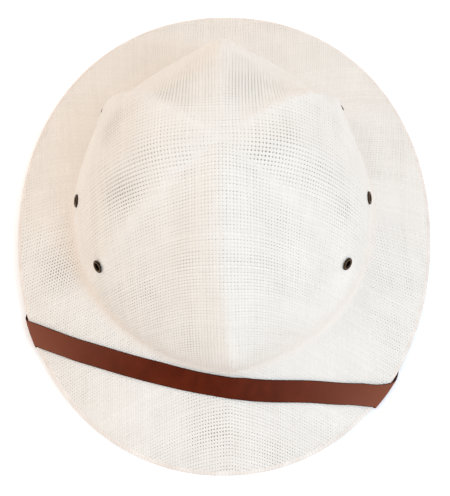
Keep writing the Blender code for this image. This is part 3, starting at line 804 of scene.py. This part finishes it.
def strapSection():
    # across and up, a flat bar with quarter circles at its corners and a top raised by crowned * (1 - (x / half)^2)
    half, high, corner = strap["width"] / 2, strap["thickness"] / 2, strap["corner"]
    quarter = np.linspace(0, math.pi / 2, strap["cornerPoints"])
    flatX = np.linspace(-half + corner, half - corner, strap["topPoints"])[1:-1]
    topX = np.concatenate([-half + corner - corner * np.cos(quarter), flatX, half - corner + corner * np.sin(quarter)])
    rising, falling = high - corner + corner * np.sin(quarter), high - corner + corner * np.cos(quarter)
    topZ = np.concatenate([rising, np.full(len(flatX), high), falling])
    crownedZ = topZ + strap["crowned"] * (1 - (topX / half) ** 2)
    return np.concatenate([topX, topX[::-1]]), np.concatenate([crownedZ, -topZ])


def makeStrap(material):
    # the section along the path, at right angles to it on the surface by the products e, f and g of the surface's
    # directions. Near the rim it is slanted along the rim, so that both its sides turn round the edge together
    spots, path = smoothPath(strapPath(), strap["step"])
    turn, run = path.T
    ahead = np.gradient(path, spots, axis=0)
    zero, tiny = np.zeros(len(path)), 0.0004
    byTurn = (layStrap(turn + tiny, run, zero) - layStrap(turn - tiny, run, zero)) / (2 * tiny)
    byRun = (layStrap(turn, run + tiny, zero) - layStrap(turn, run - tiny, zero)) / (2 * tiny)
    e, f, g = (byTurn**2).sum(1), (byTurn * byRun).sum(1), (byRun**2).sum(1)
    across = np.stack([-(ahead[:, 0] * f + ahead[:, 1] * g), ahead[:, 0] * e + ahead[:, 1] * f], 1)
    size = np.sqrt(e * across[:, 0] ** 2 + 2 * f * across[:, 0] * across[:, 1] + g * across[:, 1] ** 2)
    across = across / size[:, None]
    slope = np.where(np.abs(ahead[:, 1]) > strap["leastSlope"], ahead[:, 1], strap["leastSlope"])
    slant = -across[:, 1] / slope
    near = np.clip((2 * strap["width"] - np.abs(run)) / strap["width"], 0, 1)
    across = across + ahead * (slant * near**2 * (3 - 2 * near))[:, None]
    x, z = strapSection()
    spread = path[:, None] + across[:, None] * x[:, None]
    points = layStrap(spread[..., 0], spread[..., 1], np.broadcast_to(z, spread.shape[:2]))
    quads = gridQuads(len(path), len(x), closed=True)
    count = len(x)
    tips = points[[0, -1]].mean(1)
    shown = np.concatenate([points.reshape(-1, 3), tips])
    ring = np.arange(count)
    after = (ring + 1) % count
    final = (len(path) - 1) * count
    start = np.stack([np.full(count, len(shown) - 2), ring, after], -1)
    end = np.stack([np.full(count, len(shown) - 1), final + after, final + ring], -1)
    uv = np.stack(np.broadcast_arrays(spots[:, None] / mm, (x / mm)[None, :]), -1).reshape(-1, 2)
    uv = np.concatenate([uv, uv[[0, -1]]])
    # painted sheen: lighter towards the rim, where the strap's ends turn round it
    rubbedAndSheen = np.clip(1 - np.abs(run) / strap["sheenReach"], 0, 1) ** strap["sheenPower"]
    rubbedAndSheen = np.concatenate([np.repeat(rubbedAndSheen, count), [0, 0]])
    aside = np.broadcast_to(np.abs(x) / (strap["width"] / 2), spread.shape[:2])
    aside = np.concatenate([aside.reshape(-1), [0, 0]])
    return newPiece("leather_strap", shown, [quads, start, end], material, uv,
                    {"aside": aside, "rubbedAndSheen": rubbedAndSheen})


# Vegetable-tanned leather, dyed reddish brown: a soft sheen, a fine grain and near-black painted edges, and a painted
# sheen, lighter brown towards the rim at both ends
def makeLeather():
    made, tree, shader = newMaterial("oiledLeather", Roughness=0.45, Specular_IOR_Level=0.03)
    aside = addNode(tree, "Attribute", attribute_name="aside")
    uvNode = addNode(tree, "UVMap", uv_map="surface")
    grain = addNode(tree, "TexVoronoi", {"Vector": uvNode.outputs["UV"], "Scale": 2.2})
    pores = addNoise(tree, uvNode.outputs["UV"], 3.0, 4.0)
    cloud = addNoise(tree, uvNode.outputs["UV"], 0.09, 4.0)
    mixed = addScaled(tree, pores.outputs["Fac"], 0.3, cloud.outputs["Fac"])
    ramp = addRamp(tree, mixed.outputs[0], "#471506", 0.4, "#5E200C", 0.95)
    edge = addNode(tree, "MapRange", {"Value": aside.outputs["Fac"], "From Min": 0.92, "From Max": 0.99},
                   interpolation_type="SMOOTHSTEP")
    rubbedAndSheen = addNode(tree, "Attribute", attribute_name="rubbedAndSheen")
    # painted sheen: a lighter brown where the strap nears the rim
    wornAndSheen = addNode(tree, "Mix", {"Factor": rubbedAndSheen.outputs["Fac"], 6: ramp.outputs["Color"], 7: srgb("#7F4937")},
                   data_type="RGBA")
    dark = addNode(tree, "Mix", {"Factor": edge.outputs["Result"], 6: wornAndSheen.outputs[2], 7: srgb("#27110A")},
                   data_type="RGBA")
    tree.links.new(dark.outputs[2], shader.inputs["Base Color"])
    emboss(tree, shader, grain.outputs["Distance"], 0.25)
    return made


pieces["leather_strap"] = makeStrap(makeLeather())
punch(pieces["leather_strap"], ["eyelet_left_mid", "eyelet_right_mid"], strap["ventBore"])
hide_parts("strap")
print("strap ready")

# the eyelets

eyelet = {"bore": 2.5 * mm, "flange": 4.5 * mm, "roll": 1.15 * mm, "seat": 0.3 * mm, "metal": 0.4 * mm, "sides": 56,
          "innerFlange": 4.2 * mm, "innerSeat": 0.6 * mm, "rollPoints": 17}


def makeEyelet(name, material):
    # a profile of radius and height turned round the eyelet's axis: half an ellipse, the bore and an inner flange
    point, out = seats[name]
    grip = form["wall"] + eyelet["innerSeat"]
    if name.endswith("mid"):
        grip += strap["innerSeat"] + strap["thickness"]
    bore, flange, seat = eyelet["bore"], eyelet["flange"], eyelet["seat"]
    middle, half = (bore + flange) / 2, (flange - bore) / 2
    barrel = bore + eyelet["metal"]
    angle = np.linspace(0, math.pi, eyelet["rollPoints"])
    inner = eyelet["innerFlange"]
    radii = np.concatenate([middle + half * np.cos(angle), [bore, bore, inner, inner, barrel, barrel]])
    lifts = np.concatenate([seat + eyelet["roll"] * np.sin(angle),
                            [0, -grip - eyelet["metal"], -grip - eyelet["metal"], -grip, -grip, seat]])
    turn = np.linspace(0, 2 * math.pi, eyelet["sides"] + 1)[:-1]
    axis = Vector(out)
    frameOf = np.array(axis.to_track_quat("Z", "Y").to_matrix())
    ring = np.stack([np.cos(turn), np.sin(turn), np.zeros_like(turn)], -1) @ frameOf.T
    points = point + radii[:, None, None] * ring[None] + lifts[:, None, None] * out
    count = len(radii)
    row, column = np.arange(count)[:, None], np.arange(len(turn))[None, :]
    below, after = (row + 1) % count, (column + 1) % len(turn)
    quads = np.stack(np.broadcast_arrays(row * len(turn) + column, row * len(turn) + after,
                                         below * len(turn) + after, below * len(turn) + column), -1).reshape(-1, 4)
    height = np.broadcast_to(np.clip(lifts / (seat + eyelet["roll"]), 0, 1)[:, None], (count, len(turn)))
    uv = np.stack(np.broadcast_arrays(turn[None, :] * 3, np.arange(count)[:, None] / count), -1).reshape(-1, 2)
    made = newPiece(name + "_rolled", points.reshape(-1, 3), [quads], material, uv,
                    {"crest": height.reshape(-1)})
    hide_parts(name)
    return made


# Antique brass: stamped, rolled and darkened in a bath, then rubbed bright on the crest of the roll
def makeBrass():
    made, tree, shader = newMaterial("antiqueBrass", Metallic=1.0)
    crest = addNode(tree, "Attribute", attribute_name="crest")
    place = addNode(tree, "TexCoord")
    wornAndSheen = addNoise(tree, place.outputs["Object"], 700.0, 4.0)
    rubbedAndSheen = addScaled(tree, wornAndSheen.outputs["Fac"], 0.6, crest.outputs["Fac"])
    ramp = addRamp(tree, rubbedAndSheen.outputs[0], "#1A130D", 0.75, "#4E3D2D", 1.0)
    tree.links.new(ramp.outputs["Color"], shader.inputs["Base Color"])
    rough = addNode(tree, "MapRange", {"Value": wornAndSheen.outputs["Fac"], "To Min": 0.28, "To Max": 0.5})
    tree.links.new(rough.outputs["Result"], shader.inputs["Roughness"])
    return made


antiqueBrass = makeBrass()
for name in seats:
    pieces[name] = makeEyelet(name, antiqueBrass)
print("eyelets ready")

# floor, light and camera

stage = {
    "floorHalf": 6.0,
    "floorGlow": (0.18, 0.18, 0.18),  # keeps the sheet white
    "worldStrength": 0.85,
    "worldTint": (1.0, 0.876, 0.775),
    "lampAim": (0, 0, 0.05),
}
# soft lamps over the helmet: turn from the front, height over the floor in degrees, distance and size in metres, watts
lamps = [
    {"name": "key", "turn": 48, "height": 52, "distance": 2.4, "size": 1.0, "watts": 23.0, "tint": (0.4, 0.7, 1.0)},
    {"name": "top", "turn": 0, "height": 88, "distance": 2.4, "size": 3.0, "watts": 17.0, "tint": (0.5, 0.75, 1.0)},
    {"name": "fill", "turn": -115, "height": 50, "distance": 2.4, "size": 2.0, "watts": 8.0, "tint": (1.0, 0.85, 0.7)},
]


# White paper sweep: matt, and all but even
def makeFloor():
    made, tree, shader = newMaterial("paperSweep", Roughness=0.9)
    place = addNode(tree, "TexCoord")
    mottle = addNoise(tree, place.outputs["Object"], 3.0, 2.0)
    ramp = addRamp(tree, mottle.outputs["Fac"], "#FAFAFA", 0.0, "#FFFFFF", 1.0)
    tree.links.new(ramp.outputs["Color"], shader.inputs["Base Color"])
    shader.inputs["Emission Color"].default_value = (*stage["floorGlow"], 1.0)
    shader.inputs["Emission Strength"].default_value = 1.0
    half = stage["floorHalf"]
    mesh = bpy.data.meshes.new("floor")
    mesh.from_pydata([(-half, -half, 0), (half, -half, 0), (half, half, 0), (-half, half, 0)], [], [(0, 1, 2, 3)])
    mesh.materials.append(made)
    floor = bpy.data.objects.new("floor", mesh)
    bpy.context.scene.collection.objects.link(floor)


def addLamp(name, turn, height, distance, size, watts, tint):
    # a square lamp at distance * (sin turn cos height, -cos turn cos height, sin height), facing its aim
    lamp = bpy.data.lights.new(name, "AREA")
    lamp.size, lamp.energy, lamp.color = size, watts, tint
    light = bpy.data.objects.new(name, lamp)
    turn, height = math.radians(turn), math.radians(height)
    place = Vector((math.sin(turn) * math.cos(height), -math.cos(turn) * math.cos(height), math.sin(height)))
    place = place * distance
    light.location = place
    light.rotation_euler = (Vector(stage["lampAim"]) - place).to_track_quat("-Z", "Y").to_euler()
    bpy.context.scene.collection.objects.link(light)


makeFloor()
for lamp in lamps:
    addLamp(**lamp)
world = bpy.data.worlds.new("studio")
bpy.context.scene.world = world
world.use_nodes = True
world.node_tree.nodes["Background"].inputs["Color"].default_value = (*stage["worldTint"], 1.0)
world.node_tree.nodes["Background"].inputs["Strength"].default_value = stage["worldStrength"]
bpy.context.scene.view_settings.view_transform = "Standard"

photo = {
    "width": 450, "height": 496,  # pixels
    "elevation": 65.17, "azimuth": 1.86, "roll": -2.275,  # degrees
    "distance": 1.754, "aim": (0.0, 0.0, 0.04),
    "mmPerPixel": 0.68,  # at the aim
    "axisPixel": (223.3, 214.4),  # where the aim shows
}


def makeCamera():
    # looks at the helmet from the photo's side, turned so that the aim shows at its pixel, with no shift
    e, a, r = (math.radians(photo[key]) for key in ("elevation", "azimuth", "roll"))
    back = Vector((math.sin(a) * math.cos(e), -math.cos(a) * math.cos(e), math.sin(e)))
    side = Vector((math.cos(a), math.sin(a), 0))
    up = back.cross(side)
    side, up = side * math.cos(r) + up * math.sin(r), up * math.cos(r) - side * math.sin(r)
    focal = photo["distance"] / (photo["mmPerPixel"] * mm)
    eye = Vector(photo["aim"]) + back * photo["distance"]
    back = back - side * ((photo["width"] / 2 - photo["axisPixel"][0]) / focal)
    back = (back + up * ((photo["height"] / 2 - photo["axisPixel"][1]) / focal)).normalized()
    side = up.cross(back).normalized()
    up = back.cross(side)
    lens = bpy.data.cameras.new("camera")
    lens.sensor_width = 36
    lens.lens = focal / max(photo["width"], photo["height"]) * lens.sensor_width
    lens.clip_end = 50
    camera = bpy.data.objects.new("camera", lens)
    turned = Matrix((side, up, back)).transposed().to_4x4()
    camera.matrix_world = Matrix.Translation(eye) @ turned
    bpy.context.scene.collection.objects.link(camera)
    bpy.context.scene.camera = camera


makeCamera()
print("scene ready")
